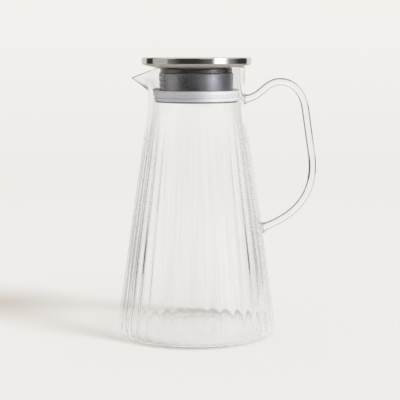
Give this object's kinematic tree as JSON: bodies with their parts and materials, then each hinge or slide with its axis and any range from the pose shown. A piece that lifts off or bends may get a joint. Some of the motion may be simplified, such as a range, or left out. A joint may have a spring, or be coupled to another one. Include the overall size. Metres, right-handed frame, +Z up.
{
  "type": "pitcher",
  "caption": "Tall conical glass pitcher with inner flutes, a beak spout, a bent rod handle and a plug-in steel lid with strainer collar and silicone seal.",
  "frame": {"origin": "middle of the flat underside of the glass base", "axes": "+Z up along the axis of the body, +X towards the handle, so the spout points to -X"},
  "size_m": [0.1803, 0.144, 0.2498],
  "materials": {
    "clear_glass": "clear borosilicate, fire polished",
    "polished_steel": "mirror polished stainless",
    "brushed_steel": "fine brushed stainless",
    "silicone": "translucent satin silicone"
  },
  "bodies": {
    "jug": {"glass_body": "clear_glass", "glass_handle": "clear_glass"},
    "seal": {"silicone_seal": "silicone"},
    "lid": {"lid_cap": "polished_steel", "lid_underside": "polished_steel", "lid_neck_ring": "polished_steel", "strainer_collar": "brushed_steel"}
  },
  "joints": [
    {"name": "lid_lift", "type": "slide", "parent": "jug", "child": "seal", "axis": [0, 0, 1], "range_m": [0, 0.05]},
    {"name": "lid_turn", "type": "hinge", "parent": "seal", "child": "lid", "pos_m": [0, 0, 0.23], "axis": [0, 0, 1], "continuous": true}
  ]
}
